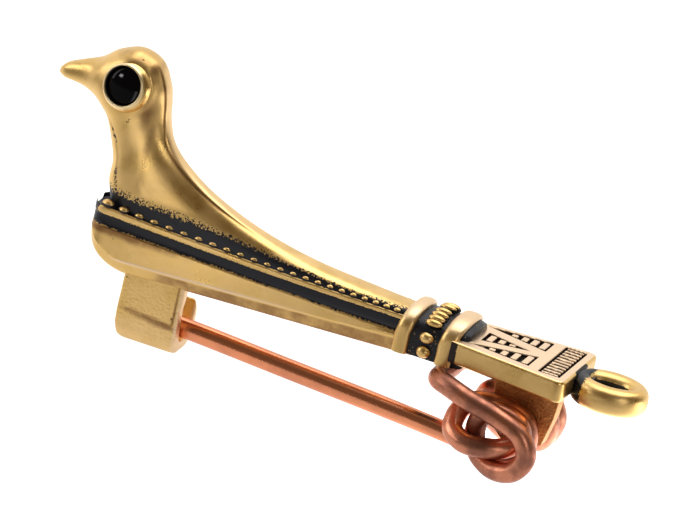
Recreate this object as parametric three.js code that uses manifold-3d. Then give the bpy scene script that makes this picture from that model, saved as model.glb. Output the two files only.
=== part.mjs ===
// A cast brass bird brooch with a bent copper spring pin.
// Millimetres. +X runs from the beak to the tail loop, +Z is up, and the brooch stands on z = 0.

import * as THREE from 'three';
import { mergeVertices } from 'three/addons/utils/BufferGeometryUtils.js';
import Module from 'manifold-3d';

const wasm = await Module();
wasm.setup();

// ---- driving sizes ----
const wireRadius = 0.75;
const bowHalfWidth = 1.78;      // at the breast
const bowNarrowing = 0.012;     // lost for each mm towards the tail
const bowFront = -19.35;
const bowEnd = 6.0;
const gunwaleFront = 9.69;      // top of the thin ridge, at the breast
const gunwaleFall = 0.036;      // how much it drops for each mm towards the tail
const gunwaleSag = 0.16;        // how far it hangs below a straight line on the way
const keelFront = 4.98;         // underside of the bow, at the catch
const keelRise = 0.04;
const pearlCount = 23;
const pearlFirst = -18.19;       // x of the first pearl
const pearlFront = 0.31;        // pearl radius at the breast
const pearlTail = 0.235;
const plateTop = 8.6;
const plateThickness = 1.65;
const plateStart = 9.3;
const plateEnd = 18.3;
const plateHalfStart = 2.75;
const plateHalfEnd = 3.85;
const carvingDepth = 0.28;
const lugHalf = 0.62;
const lugHole = { x: 14.2, z: 3.0, radius: wireRadius + 0.2 };
const eyeRadius = 1.36;
const eyeCentre = new THREE.Vector3(-18.72, -1.98, 18.95);
const eyeGap = 0.06;

// ---- helpers ----
function toSolid(geometry) {
  const bare = geometry.clone();
  bare.deleteAttribute('normal');
  bare.deleteAttribute('uv');
  const merged = mergeVertices(bare, 1e-5);
  const vertProperties = new Float32Array(merged.attributes.position.array);
  const triVerts = new Uint32Array(merged.index.array);
  const solid = new wasm.Manifold(new wasm.Mesh({ numProp: 3, vertProperties, triVerts }));
  return solid.volume() > 0 ? solid : new wasm.Manifold(
    new wasm.Mesh({ numProp: 3, vertProperties, triVerts: triVerts.slice().reverse() }),
  );
}

function toGeometry(solid) {
  const mesh = solid.getMesh();
  const geometry = new THREE.BufferGeometry();
  geometry.setAttribute('position', new THREE.BufferAttribute(mesh.vertProperties.slice(), 3));
  geometry.setIndex(new THREE.BufferAttribute(mesh.triVerts.slice(), 1));
  geometry.computeVertexNormals();
  return geometry;
}

// A closed skin over a row of rings with equal point counts; both ends are closed by a fan.
function loft(rings) {
  const count = rings[0].length;
  const points = rings.flat();
  const faces = [];
  for (let i = 0; i + 1 < rings.length; i += 1) {
    for (let k = 0; k < count; k += 1) {
      const a = i * count + k;
      const b = i * count + ((k + 1) % count);
      faces.push(a, b, b + count, a, b + count, a + count);
    }
  }
  const addCap = (start, flip) => {
    const centre = new THREE.Vector3();
    for (let k = 0; k < count; k += 1) centre.addScaledVector(points[start + k], 1 / count);
    points.push(centre);
    const hub = points.length - 1;
    for (let k = 0; k < count; k += 1) {
      const a = start + k;
      const b = start + ((k + 1) % count);
      faces.push(...(flip ? [hub, b, a] : [hub, a, b]));
    }
  };
  addCap(0, true);
  addCap((rings.length - 1) * count, false);
  const geometry = new THREE.BufferGeometry();
  geometry.setAttribute('position', new THREE.Float32BufferAttribute(points.flatMap((p) => [p.x, p.y, p.z]), 3));
  geometry.setIndex(faces);
  return toSolid(geometry);
}

function joinAll(solids) {
  return wasm.Manifold.union(solids);
}

// An outline carried up its third axis, then turned to lie along X, Y or Z.
function prism(outline, from, to) {
  const shape = new THREE.Shape(outline.map(([u, v]) => new THREE.Vector2(u, v)));
  const geometry = new THREE.ExtrudeGeometry(shape, { depth: to - from, bevelEnabled: false });
  return geometry.translate(0, 0, from);
}

// Outline in Y and Z.
function prismAlongX(outline, from, to) {
  const turned = new THREE.Matrix4().makeBasis(
    new THREE.Vector3(0, 1, 0), new THREE.Vector3(0, 0, 1), new THREE.Vector3(1, 0, 0),
  );
  return toSolid(prism(outline, from, to).applyMatrix4(turned));
}

// Outline in X and Z.
function prismAlongY(outline, from, to) {
  return toSolid(prism(outline, -to, -from).rotateX(Math.PI / 2));
}

// Outline in X and Y.
function prismAlongZ(outline, from, to) {
  return toSolid(prism(outline, from, to));
}

function ball(radius, scale, place, around = 10, up = 6) {
  const geometry = new THREE.SphereGeometry(radius, around, up);
  geometry.scale(...scale);
  geometry.translate(...place);
  return toSolid(geometry);
}

function wire(points, radius, sides, steps) {
  const turns = Array.from({ length: sides }, (_, k) => (2 * Math.PI * k) / sides);
  const circle = new THREE.Shape(turns.map((t) => new THREE.Vector2(radius * Math.cos(t), radius * Math.sin(t))));
  const path = new THREE.CatmullRomCurve3(points, false, 'centripetal');
  return new THREE.ExtrudeGeometry(circle, { steps, bevelEnabled: false, extrudePath: path });
}

// ---- the bird: ribs fan round from the tail, up the neck and over the head to the beak ----
// Each rib: top x, z, underside x, z, half width.
const birdRibs = [
  [6.5, 9.2, 6.5, 7.2, 1.45],
  [2.0, 9.48, 2.0, 7.2, 1.48],
  [-3.0, 9.95, -3.5, 7.0, 1.5],
  [-7.3, 10.95, -9.5, 7.0, 1.52],
  [-10.8, 12.3, -14.3, 7.2, 1.55],
  [-13.2, 13.75, -17.6, 8.4, 1.55],
  [-14.7, 15.15, -18.85, 10.9, 1.52],
  [-15.37, 16.75, -18.95, 12.8, 1.5],
  [-15.62, 18.15, -19.5, 14.6, 1.68],
  [-15.97, 19.4, -19.95, 15.75, 1.98],
  [-16.85, 20.8, -20.5, 16.4, 2.1],
  [-18.5, 21.35, -20.95, 16.85, 2.05],
  [-20.15, 20.8, -21.5, 17.15, 1.6],
  [-21.35, 19.85, -22.25, 17.38, 1.12],
  [-22.6, 19.25, -23.0, 17.45, 0.8],
  [-23.7, 18.7, -23.75, 17.5, 0.52],
  [-24.2, 18.2, -24.2, 17.7, 0.22],
];

function blendRibs(ribs, place) {
  const last = ribs.length - 1;
  const at = Math.min(Math.floor(place), last - 1);
  const t = place - at;
  const pick = (i) => ribs[Math.max(0, Math.min(last, i))];
  const [before, from, to, after] = [at - 1, at, at + 1, at + 2].map(pick);
  return from.map((value, k) => {
    const pull = (to[k] - before[k]) / 2;
    const push = (after[k] - value) / 2;
    const rise = to[k] - value;
    return value + pull * t + (3 * rise - 2 * pull - push) * t * t + (pull + push - 2 * rise) * t * t * t;
  });
}

function birdRing(place, around, squareness) {
  const [topX, topZ, lowX, lowZ, half] = blendRibs(birdRibs, place);
  const power = 2 / squareness;
  return Array.from({ length: around }, (_, k) => {
    const turn = (2 * Math.PI * k) / around;
    const along = Math.sign(Math.cos(turn)) * Math.abs(Math.cos(turn)) ** power;
    const across = Math.sign(Math.sin(turn)) * Math.abs(Math.sin(turn)) ** power;
    return new THREE.Vector3(
      (topX + lowX) / 2 + ((topX - lowX) / 2) * along,
      half * across,
      (topZ + lowZ) / 2 + ((topZ - lowZ) / 2) * along,
    );
  });
}

function bird() {
  const steps = 32;
  const last = birdRibs.length - 1;
  const squarenessAt = (place) => 2.25 + 0.95 * Math.min(1, Math.max(0, 1 - (place - 1) / 4));
  const places = Array.from({ length: steps + 1 }, (_, i) => (last * i) / steps);
  return loft(places.map((place) => birdRing(place, 18, squarenessAt(place))));
}

// ---- the bow: a boat-shaped hull with a thin ridge, a groove under it and a bevelled keel ----
const alongBow = (x) => Math.min(1, Math.max(0, (x - bowFront) / (bowEnd - bowFront)));
const gunwaleAt = (x) =>
  gunwaleFront - gunwaleFall * (x - bowFront) - gunwaleSag * Math.sin(Math.PI * alongBow(x));
const keelAt = (x) => keelFront + keelRise * (x + 14);
const bowHalfAt = (x) => bowHalfWidth - bowNarrowing * (x - bowFront);

function bowRing(x) {
  const noseLength = 1.3;
  const into = Math.max(0, (bowFront + noseLength - x) / noseLength);
  const half = bowHalfAt(x) * (1 - 0.9 * into ** 2.6) ** (1 / 2.6);
  const corner = { length: 3.6, height: 3.1 };
  const lift = Math.max(0, bowFront + corner.length - x) / corner.length;
  const keel = keelAt(x) + corner.height * (1 - Math.sqrt(1 - 0.96 * lift ** 2));
  const gunwale = gunwaleAt(x);
  const along = alongBow(x);
  const grooveTop = gunwale - 0.56 + 0.22 * along;
  const grooveLow = grooveTop - 0.9 - 0.12 * along ** 3;
  const crease = Math.min(keel + 1.12 + 0.3 * along ** 3, grooveLow - 0.35);
  const side = [
    [0.55, keel],
    [0.84, keel + 0.3 * (crease - keel)],
    [1.0, crease],
    [1.02, (crease + grooveLow) / 2],
    [0.98, grooveLow],
    [0.87, grooveLow + 0.12],
    [0.87, grooveTop - 0.08],
    [1.0, grooveTop],
    [1.0, gunwale],
    [0.76, gunwale + 0.06],
    [0.45, gunwale - 0.35],
  ];
  const near = side.map(([part, z]) => new THREE.Vector3(x, -half * part, z));
  const far = side.map(([part, z]) => new THREE.Vector3(x, half * part, z)).reverse();
  return [...near, ...far];
}

function bow() {
  const nose = [0, 0.08, 0.25, 0.55, 1.0, 1.6, 2.4].map((step) => bowFront + step);
  const rest = Array.from({ length: 7 }, (_, i) => bowFront + 2.4 + ((bowEnd - bowFront - 2.4) * (i + 1)) / 7);
  return loft([...nose, ...rest].map(bowRing));
}

// Pearls stand on the ledge just inside the ridge, closer together towards the tail.
function pearls() {
  const places = Array.from({ length: pearlCount }, (_, i) => {
    const t = i / (pearlCount - 1);
    return pearlFirst + 22.63 * (1.22 * t - 0.22 * t * t);
  });
  return places.flatMap((x, i) => {
    const radius = pearlFront + ((pearlTail - pearlFront) * i) / (pearlCount - 1);
    const frontShare = Math.exp(pearlFirst - x);
    const size = radius + 0.07 * frontShare;
    const height = gunwaleAt(x) + 0.12 + 0.08 * frontShare;
    const depth = 0.82 * bowHalfAt(x);
    return [-1, 1].map((side) => ball(size, [1.25, 0.95, 0.85], [x, side * depth, height], 5, 3));
  });
}

// ---- the collar: two plain arches with a row of beads between them ----
const collarShape = { half: 2.72, base: 6.45, shoulder: 7.9, crown: 9.76, lean: 0.33, squareness: 2.6 };

// Two round beads stand on each side, as height and half width, and narrow ones ride over the crown.
const beadRow = { x: 7.3, low: [[7.0, 0.46], [8.08, 0.42]], high: 8 };

// A turn round a squarish oval, as its shares across and up.
const squareTurn = (turn) => [Math.cos(turn), Math.sin(turn)].map(
  (value) => Math.sign(value) * Math.abs(value) ** (2 / collarShape.squareness),
);

// A point on the arch: 0 at the near foot, 1 at the far foot; shrink draws it inwards.
function archPoint(part, shrink) {
  const half = collarShape.half - shrink;
  const crown = collarShape.crown - shrink;
  const upright = collarShape.shoulder - collarShape.base;
  const sweep = 2.05 * half + 1.1 * (crown - collarShape.shoulder);
  const along = part * (2 * upright + sweep);
  if (along <= upright) return [-half, collarShape.base + along];
  if (along >= upright + sweep) return [half, collarShape.base + 2 * upright + sweep - along];
  const [across, up] = squareTurn(Math.PI * (1 - (along - upright) / sweep));
  return [half * across, collarShape.shoulder + (crown - collarShape.shoulder) * up];
}

// The arches lean back a little, so a point's x grows with its height above the shoulder.
function archVector(x, [y, z]) {
  const rise = Math.max(0, z - collarShape.shoulder) / (collarShape.crown - collarShape.shoulder);
  return new THREE.Vector3(x + collarShape.lean * rise, y, z);
}

function archSlab(rings) {
  const outline = (shrink) => Array.from({ length: 17 }, (_, i) => archPoint(i / 16, shrink));
  return loft(rings.map(([x, shrink]) => outline(shrink).map((point) => archVector(x, point))));
}

function collar() {
  const core = archSlab([[5.0, 0.38], [9.9, 0.38]]);
  const bevel = 0.22;
  const ridge = (from, to) => archSlab([[from, 0.25], [from + bevel, 0], [to - bevel, 0], [to, 0.25]]);
  const bead = (y, z, halfWidth, halfLength) => {
    const stretch = halfLength / halfWidth;
    return ball(halfWidth, [stretch, 1, 1], archVector(beadRow.x, [y, z]).toArray(), 7, 5);
  };
  const low = beadRow.low.flatMap(([z, halfWidth]) => [-1, 1].map((side) => bead(side * 2.34, z, halfWidth, 0.55)));
  const high = Array.from({ length: beadRow.high }, (_, i) => {
    const turn = Math.PI * (0.78 - (0.56 * i) / (beadRow.high - 1));
    const [across, up] = squareTurn(turn);
    return bead(2.36 * across, 7.92 + 1.7 * up, 0.28, 0.62);
  });
  return [core, ridge(4.95, 6.1), ridge(8.25, 9.45), ...low, ...high];
}

// ---- the foot plate: a trapezoid with sunk triangles full of short bars and a ribbed band ----
const plateHalfAt = (x) => plateHalfStart
  + ((plateHalfEnd - plateHalfStart) * (x - plateStart)) / (plateEnd - plateStart);

function plateBlank() {
  const ring = (x, inset) => {
    const half = plateHalfAt(x) - inset;
    const [low, high] = [plateTop - plateThickness + inset, plateTop - inset * 0.6];
    const round = 0.3;
    const nearSide = [[-half + round, low], [-half, low + round], [-half, high - round], [-half + round, high]];
    const farSide = nearSide.map(([y, z]) => [-y, z]).reverse();
    return [...nearSide, ...farSide].map(([y, z]) => new THREE.Vector3(x, y, z));
  };
  return loft([ring(plateStart, 0), ring(plateEnd - 0.35, 0), ring(plateEnd - 0.08, 0.12), ring(plateEnd, 0.35)]);
}

const carvedTriangles = [
  { tip: [14.5, 0], base: [[10.75, -0.92], [10.75, 0.92]], bars: 4 },
  { tip: [10.3, -2.05], base: [[15.15, -0.7], [15.15, -2.7]], bars: 5 },
  { tip: [10.3, 2.05], base: [[15.15, 2.7], [15.15, 0.7]], bars: 5 },
];
const ribbedBand = { from: 16.0, to: 17.6, half: 3.05, ribs: 11 };

function carvingPockets() {
  const floor = plateTop - carvingDepth;
  const triangles = carvedTriangles.map(({ tip, base }) => prismAlongZ([tip, ...base], floor, plateTop + 1));
  const { from, to, half } = ribbedBand;
  return [...triangles, prismAlongZ([[from, -half], [to, -half], [to, half], [from, half]], floor, plateTop + 1)];
}

function carvingBars() {
  const floor = plateTop - carvingDepth - 0.1;
  const top = plateTop - 0.04;
  const bars = carvedTriangles.flatMap(({ tip, base, bars: count }) => {
    const baseX = base[0][0];
    const pitch = (baseX - tip[0]) / (count + 0.9);
    return Array.from({ length: count }, (_, i) => {
      const x = baseX - pitch * (i + 0.55);
      const share = (x - tip[0]) / (baseX - tip[0]);
      const edges = base.map(([, y]) => tip[1] + (y - tip[1]) * share);
      const [low, high] = [Math.min(...edges) + 0.1, Math.max(...edges) - 0.1];
      const half = Math.abs(pitch) * 0.31;
      if (high - low < 0.15) return null;
      return prismAlongZ([[x - half, low], [x + half, low], [x + half, high], [x - half, high]], floor, top);
    });
  }).filter((bar) => bar !== null);
  const { from, to, half, ribs } = ribbedBand;
  const pitch = (2 * half) / ribs;
  const thinRibs = Array.from({ length: ribs }, (_, i) => {
    const y = -half + pitch * (i + 0.5);
    const outline = [[from + 0.18, y - 0.16], [to - 0.18, y - 0.16], [to - 0.18, y + 0.16], [from + 0.18, y + 0.16]];
    return prismAlongZ(outline, floor, top);
  });
  return [...bars, ...thinRibs];
}

function plate() {
  const carved = joinAll([plateBlank()]).subtract(joinAll(carvingPockets()));
  return [carved, ...carvingBars()];
}

// ---- the hanging loop on the end of the plate ----
function tailLoop() {
  const [centreX, centreZ] = [20.85, 7.55];
  const section = 10;
  const around = 22;
  const rings = Array.from({ length: around }, (_, i) => {
    const turn = (2 * Math.PI * i) / around;
    const [ringX, ringY] = [2.25 * Math.cos(turn), 1.65 * Math.sin(turn)];
    return Array.from({ length: section }, (_k, k) => {
      const roll = (2 * Math.PI * k) / section;
      const out = 0.75 * Math.cos(roll);
      const up = 0.85 * Math.sign(Math.sin(roll)) * Math.abs(Math.sin(roll)) ** 0.7;
      return new THREE.Vector3(
        centreX + ringX + out * Math.cos(turn), ringY + out * Math.sin(turn), centreZ + up,
      );
    });
  });
  const points = rings.flat();
  const faces = [];
  for (let i = 0; i < around; i += 1) {
    for (let k = 0; k < section; k += 1) {
      const [a, b] = [i * section + k, i * section + ((k + 1) % section)];
      const shift = ((i + 1) % around) * section - i * section;
      faces.push(a, a + shift, b + shift, a, b + shift, b);
    }
  }
  const geometry = new THREE.BufferGeometry();
  geometry.setAttribute('position', new THREE.Float32BufferAttribute(points.flatMap((p) => [p.x, p.y, p.z]), 3));
  geometry.setIndex(faces);
  const neck = prismAlongX([[-1.5, 6.85], [1.5, 6.85], [1.5, 8.2], [-1.5, 8.2]], plateEnd - 0.4, 19.3);
  const hole = new THREE.CylinderGeometry(1, 1, 4, 20);
  hole.rotateX(Math.PI / 2);
  hole.scale(1.5, 0.9, 1);
  hole.translate(centreX, 0, centreZ);
  return [toSolid(geometry), neck.subtract(toSolid(hole))];
}

// ---- what carries the wire: the lug under the plate and the open catch under the breast ----
function springLug() {
  const outline = [[12.5, 7.2], [17.5, 7.2], [17.25, 4.5], [16.75, 2.3], [15.7, 1.7], [13.9, 1.7], [12.9, 2.6], [12.5, 4.4]];
  const hole = new THREE.CylinderGeometry(lugHole.radius, lugHole.radius, 4, 16);
  hole.translate(lugHole.x, 0, lugHole.z);
  return prismAlongY(outline, -lugHalf, lugHalf).subtract(toSolid(hole));
}

function pinCatch() {
  const inside = [[-0.3, 6.3], [-0.32, 1.75], [-0.1, 1.1], [0.3, 0.82], [1.25, 0.82], [1.72, 1.4], [2.1, 2.25], [2.47, 3.15]];
  const outside = [[2.65, 3.3], [2.83, 3.0], [2.83, 2.1], [2.55, 1.1], [1.9, 0.3], [1.2, 0], [-0.3, 0], [-1.0, 0.3], [-1.3, 1.0], [-1.3, 6.3]];
  const blank = prismAlongX([...inside, ...outside], -16.1, -11.3);
  const softened = [
    [-16.0, 7], [-16.1, 2.6], [-16.05, 1.5], [-15.7, 0.6], [-15.0, 0], [-15.0, -1], [-11.6, -1], [-11.6, 0],
    [-11.35, 0.4], [-11.3, 1.2], [-11.35, 2.4], [-11.4, 3.4], [-11.3, 4.4], [-11.3, 7],
  ];
  return blank.intersect(prismAlongY(softened, -4, 5));
}

// ---- the eyes: a raised rim, a sunk socket and a domed black inlay ----
function eyeTurn(side) {
  const outward = new THREE.Vector3(-0.15, side, 0.2).normalize();
  return new THREE.Quaternion().setFromUnitVectors(new THREE.Vector3(0, 1, 0), outward);
}

function placeEye(geometry, side) {
  geometry.applyQuaternion(eyeTurn(side));
  geometry.translate(eyeCentre.x, -side * eyeCentre.y, eyeCentre.z);
  return geometry;
}

function eyeRim(side) {
  const steps = Array.from({ length: 6 }, (_, k) => (2 * Math.PI * k) / 6);
  const outline = steps.map((t) => new THREE.Vector2(1.62 + 0.2 * Math.cos(t), 0.02 - 0.24 * Math.sin(t)));
  return toSolid(placeEye(new THREE.LatheGeometry([...outline, outline[0]], 18), side));
}

function eyeSocket(side) {
  const geometry = new THREE.CylinderGeometry(eyeRadius + eyeGap, eyeRadius + eyeGap, 2, 18);
  geometry.translate(0, 1 - 0.75, 0);
  return toSolid(placeEye(geometry, side));
}

function eyeInlay(side) {
  const [floor, edge, crown] = [-0.75 + eyeGap, -0.3, 0.02];
  const dome = Array.from({ length: 6 }, (_, i) => {
    const turn = (Math.PI / 2) * (1 - i / 5);
    return new THREE.Vector2(eyeRadius * Math.cos(turn), edge + (crown - edge) * Math.sin(turn));
  });
  const profile = [new THREE.Vector2(0, floor), new THREE.Vector2(eyeRadius, floor), ...dome.reverse()];
  profile[profile.length - 1].x = 0;
  return toGeometry(toSolid(placeEye(new THREE.LatheGeometry(profile, 18), side)));
}

function castBody() {
  const parts = [
    bird(), bow(), ...pearls(), ...collar(), ...plate(), ...tailLoop(), springLug(), pinCatch(), eyeRim(-1), eyeRim(1),
  ];
  return toGeometry(joinAll(parts).subtract(joinAll([eyeSocket(-1), eyeSocket(1)])));
}

// ---- the wire: the pin, a coil on each side of the lug, and the chord that joins them ----
const pinPoints = [[-15.2, 1.0, 1.72], [-10.6, 0.62, 1.72], [-3.5, 0.02, 1.56], [4, -0.62, 1.4], [9.2, -1.12, 1.26], [12.2, -1.42, 1.12]];
const coilStart = [[12.6, -1.42, 1.08], [13.4, -1.44, 0.88]];
const coilTurns = [
  [14.5, -1.45, 0.8], [15.5, -1.45, 1.4], [15.95, -1.48, 2.7], [15.5, -1.5, 3.95], [14.3, -1.5, 4.5],
  [12.7, -1.5, 4.6], [11.5, -1.85, 4.35], [10.85, -2.55, 3.65], [10.95, -3.6, 2.7], [12.1, -4.3, 2.2],
  [13.7, -4.25, 2.25], [15.0, -3.6, 2.45], [15.85, -3.05, 3.2], [15.6, -3.05, 4.2], [14.4, -3.05, 4.7],
  [13.2, -3.05, 4.5], [12.5, -2.85, 3.5], [12.45, -2.8, 2.4], [13.0, -3.05, 1.3], [14.6, -3.85, 0.76],
  [16.2, -4.45, 1.3], [17.0, -4.7, 2.75], [16.3, -4.75, 4.15], [14.2, -4.72, 5.0], [12.0, -4.55, 5.45],
  [10.2, -4.1, 5.8], [9.1, -3.2, 5.75], [8.85, -2.0, 5.62],
];
const farTurns = [
  [8.85, 0, 5.6], [8.85, 1.6, 5.6], [9.2, 2.8, 5.62], [10.4, 3.3, 5.8], [12.2, 3.25, 5.85], [14.1, 3.2, 5.35], [15.8, 3.15, 4.3],
  [16.4, 3.15, 3.0], [15.85, 3.2, 1.5], [14.5, 3.15, 0.78], [13.1, 2.8, 1.1], [12.0, 2.1, 2.1], [11.3, 1.6, 3.2],
  [11.55, 1.5, 4.2], [12.8, 1.5, 4.75], [14.5, 1.5, 4.8], [15.9, 1.5, 4.2], [16.45, 1.52, 2.9], [16.0, 1.6, 1.75],
  [14.95, 1.75, 1.6], [14.3, 1.5, 2.2], [14.2, 0.85, 2.9], [14.2, 0, 3.0], [14.2, -0.7, 3.0],
];

const toVector = ([x, y, z]) => new THREE.Vector3(x, y, z);

function springWire() {
  return wire([...coilStart, ...coilTurns, ...farTurns].map(toVector), wireRadius, 8, 104);
}

function pinWire() {
  const body = toSolid(wire(pinPoints.map(toVector), wireRadius, 10, 16));
  return toGeometry(body);
}

const metal = (color, roughness) => new THREE.MeshStandardMaterial({ color, roughness, metalness: 1 });

function named(name, geometry, material) {
  const mesh = new THREE.Mesh(geometry, material);
  mesh.name = name;
  return mesh;
}

const glossBlack = () => new THREE.MeshStandardMaterial({ color: 0x06070a, roughness: 0.08 });

const brooch = new THREE.Group();
brooch.add(named('brooch_body', castBody(), metal(0xc49a55, 0.38)));
brooch.add(named('eye_left', eyeInlay(-1), glossBlack()));
brooch.add(named('eye_right', eyeInlay(1), glossBlack()));
brooch.add(named('spring_wire', springWire(), metal(0xb8694d, 0.35)));
brooch.add(named('pin_wire', pinWire(), metal(0xc8704c, 0.3)));

// The origin is moved to the middle of the underside of the whole box.
const box = new THREE.Box3().setFromObject(brooch);
const middle = box.getCenter(new THREE.Vector3());
brooch.children.forEach((mesh) => mesh.geometry.translate(-middle.x, -middle.y, -box.min.z));

export default brooch;
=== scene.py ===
import math

import bpy
import numpy as np
from mathutils import Matrix, Vector


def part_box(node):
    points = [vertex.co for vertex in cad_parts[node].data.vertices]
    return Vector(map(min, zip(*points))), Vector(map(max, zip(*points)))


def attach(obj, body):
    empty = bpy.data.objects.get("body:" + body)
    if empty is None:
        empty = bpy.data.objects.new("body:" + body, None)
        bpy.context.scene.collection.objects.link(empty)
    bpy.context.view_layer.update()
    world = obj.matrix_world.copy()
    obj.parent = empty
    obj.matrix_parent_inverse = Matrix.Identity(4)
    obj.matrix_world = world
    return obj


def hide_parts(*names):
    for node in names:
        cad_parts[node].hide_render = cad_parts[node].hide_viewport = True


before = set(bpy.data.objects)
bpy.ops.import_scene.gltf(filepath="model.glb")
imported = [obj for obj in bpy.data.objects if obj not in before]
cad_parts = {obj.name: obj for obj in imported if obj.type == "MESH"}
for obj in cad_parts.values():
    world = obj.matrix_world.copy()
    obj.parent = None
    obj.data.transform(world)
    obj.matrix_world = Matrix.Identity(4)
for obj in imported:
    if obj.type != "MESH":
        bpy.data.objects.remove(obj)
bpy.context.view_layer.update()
mm = 0.001

# Every shape below is worked out in millimetres about the casting's own middle plane.
# The frame says where that plane and the beak tip lie.
casting = {"beakX": -24.2}
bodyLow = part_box("brooch_body")[0]
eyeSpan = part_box("eye_left")[0].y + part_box("eye_right")[1].y
shift = np.array([bodyLow.x / mm - casting["beakX"], eyeSpan / 2 / mm, 0.0])


# mesh helpers
def smoothStep(low, high, value):
    # 3t^2 - 2t^3, where t runs from 0 at low to 1 at high
    t = np.clip((value - low) / (high - low), 0.0, 1.0)
    return t * t * (3 - 2 * t)


def signedPower(value, power):
    # keeps the sign and raises the size to a power
    return np.sign(value) * np.abs(value) ** power


def fullTurn(count):
    # so many directions, in radians, evenly round a circle
    return np.linspace(0, 2 * np.pi, count, endpoint=False)


def spokesRound(outward, count):
    # unit directions evenly round an axis
    across = np.cross(outward, [0, 0, 1.0])
    across /= np.linalg.norm(across)
    turn = fullTurn(count)[:, None]
    return across * np.cos(turn) + np.cross(outward, across) * np.sin(turn)


def awayFrom(points, centre, outward):
    # each point's distance from an axis, and its height along it
    offset = points - centre
    height = offset @ outward
    return np.linalg.norm(offset - height[:, None] * outward, axis=1), height


def closedTube(rings, loop=False):
    # walls join each ring to the next; an end is closed by a fan to its middle,
    # unless the last ring meets the first
    count, around = rings.shape[:2]
    points = rings.reshape(-1, 3)
    i = np.arange(count if loop else count - 1)[:, None]
    k = np.arange(around)[None, :]
    after, beside = (i + 1) % count, (k + 1) % around
    corners = [i * around + k, i * around + beside, after * around + beside, after * around + k]
    faces = np.stack(np.broadcast_arrays(*corners), -1).reshape(-1, 4).tolist()
    if not loop:
        points = np.vstack([points, rings[0].mean(0), rings[-1].mean(0)])
        k, last = np.arange(around), (count - 1) * around
        hub = np.full(around, count * around)
        faces += np.stack([hub, (k + 1) % around, k], -1).tolist()
        faces += np.stack([hub + 1, last + k, last + (k + 1) % around], -1).tolist()
    return points, faces


def joinShapes(shapes):
    # puts several (points, faces) one after the other
    points, faces, start = [], [], 0
    for shapePoints, shapeFaces in shapes:
        points.append(shapePoints)
        faces += [[start + corner for corner in face] for face in shapeFaces]
        start += len(shapePoints)
    return np.vstack(points), faces


def facingOut(points, faces):
    # six times the volume inside, the sum of a . (b x c) over the triangles, is positive
    # where the faces point out
    triangles = [face[:3] for face in faces] + [(face[0], *face[2:]) for face in faces if len(face) == 4]
    a, b, c = np.moveaxis(points[np.array(triangles)], 1, 0)
    volume = (a * np.cross(b, c)).sum()
    return faces if volume > 0 else [face[::-1] for face in faces]


def softenOutline(outline, rounds):
    # corner cutting: each round puts points a quarter and three quarters along every side of a closed outline
    for _ in range(rounds):
        ahead = np.roll(outline, -1, axis=-2)
        cut = np.stack([0.75 * outline + 0.25 * ahead, 0.25 * outline + 0.75 * ahead], axis=-2)
        outline = cut.reshape(*outline.shape[:-2], -1, outline.shape[-1])
    return outline


def curveThrough(points, steps):
    # centripetal Catmull-Rom: knots are spaced by the square root of the distance between points
    points = np.array(points, float)
    points = np.vstack([2 * points[0] - points[1], points, 2 * points[-1] - points[-2]])
    gaps = np.linalg.norm(np.diff(points, axis=0), axis=1) ** 0.5
    knots = np.concatenate([[0], np.cumsum(gaps)])
    t = np.linspace(knots[1], knots[-2], steps)
    i = np.clip(np.searchsorted(knots, t, side="right") - 1, 1, len(points) - 3)
    t = t[:, None]
    knot = lambda offset: knots[i + offset][:, None]
    blend = lambda low, high, a, b: ((high - t) * a + (t - low) * b) / (high - low)
    a1 = blend(knot(-1), knot(0), points[i - 1], points[i])
    a2 = blend(knot(0), knot(1), points[i], points[i + 1])
    a3 = blend(knot(1), knot(2), points[i + 1], points[i + 2])
    b1 = blend(knot(-1), knot(1), a1, a2)
    b2 = blend(knot(0), knot(2), a2, a3)
    return blend(knot(0), knot(1), b1, b2)


def evenly(path, steps):
    # the same path with its points an equal distance apart
    walked = np.concatenate([[0], np.cumsum(np.linalg.norm(np.diff(path, axis=0), axis=1))])
    where = np.linspace(0, walked[-1], steps)
    return np.stack([np.interp(where, walked, path[:, axis]) for axis in range(3)], -1)


def sweepCircle(path, radii, sides):
    # a circle of the given radius carried along the path; each one keeps the last one's side direction,
    # less the part of it that lies along the path
    heading = np.gradient(path, axis=0)
    heading /= np.linalg.norm(heading, axis=1)[:, None]
    across = np.empty(path.shape)
    side = np.cross(heading[0], [0.0, 0.0, 1.0])
    for number, direction in enumerate(heading):
        side = side - direction * (side @ direction)
        side = side / np.linalg.norm(side)
        across[number] = side
    up = np.cross(heading, across)
    turn = fullTurn(sides)
    circle = across[:, None] * np.cos(turn)[None, :, None] + up[:, None] * np.sin(turn)[None, :, None]
    return path[:, None] + circle * np.asarray(radii)[:, None, None]


def addPiece(name, shape, material, body="brooch", stands=(), marks=None, sharp=50):
    # marks are values from 0 to 1 at every point, which the materials read by name
    points, faces = shape
    mesh = bpy.data.meshes.new(name)
    mesh.from_pydata(((points + shift) * mm).tolist(), [], facingOut(points, faces))
    for markName, values in (marks or {}).items():
        mark = mesh.attributes.new(markName, "FLOAT", "POINT")
        mark.data.foreach_set("value", np.clip(values, 0, 1).astype(np.float32))
    mesh.shade_smooth()
    mesh.set_sharp_from_angle(angle=math.radians(sharp))
    mesh.materials.append(material)
    piece = bpy.data.objects.new(name, mesh)
    bpy.context.scene.collection.objects.link(piece)
    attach(piece, body)
    if stands:
        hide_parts(*stands)
    print("made", name, len(faces), "faces")
    return piece


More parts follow.
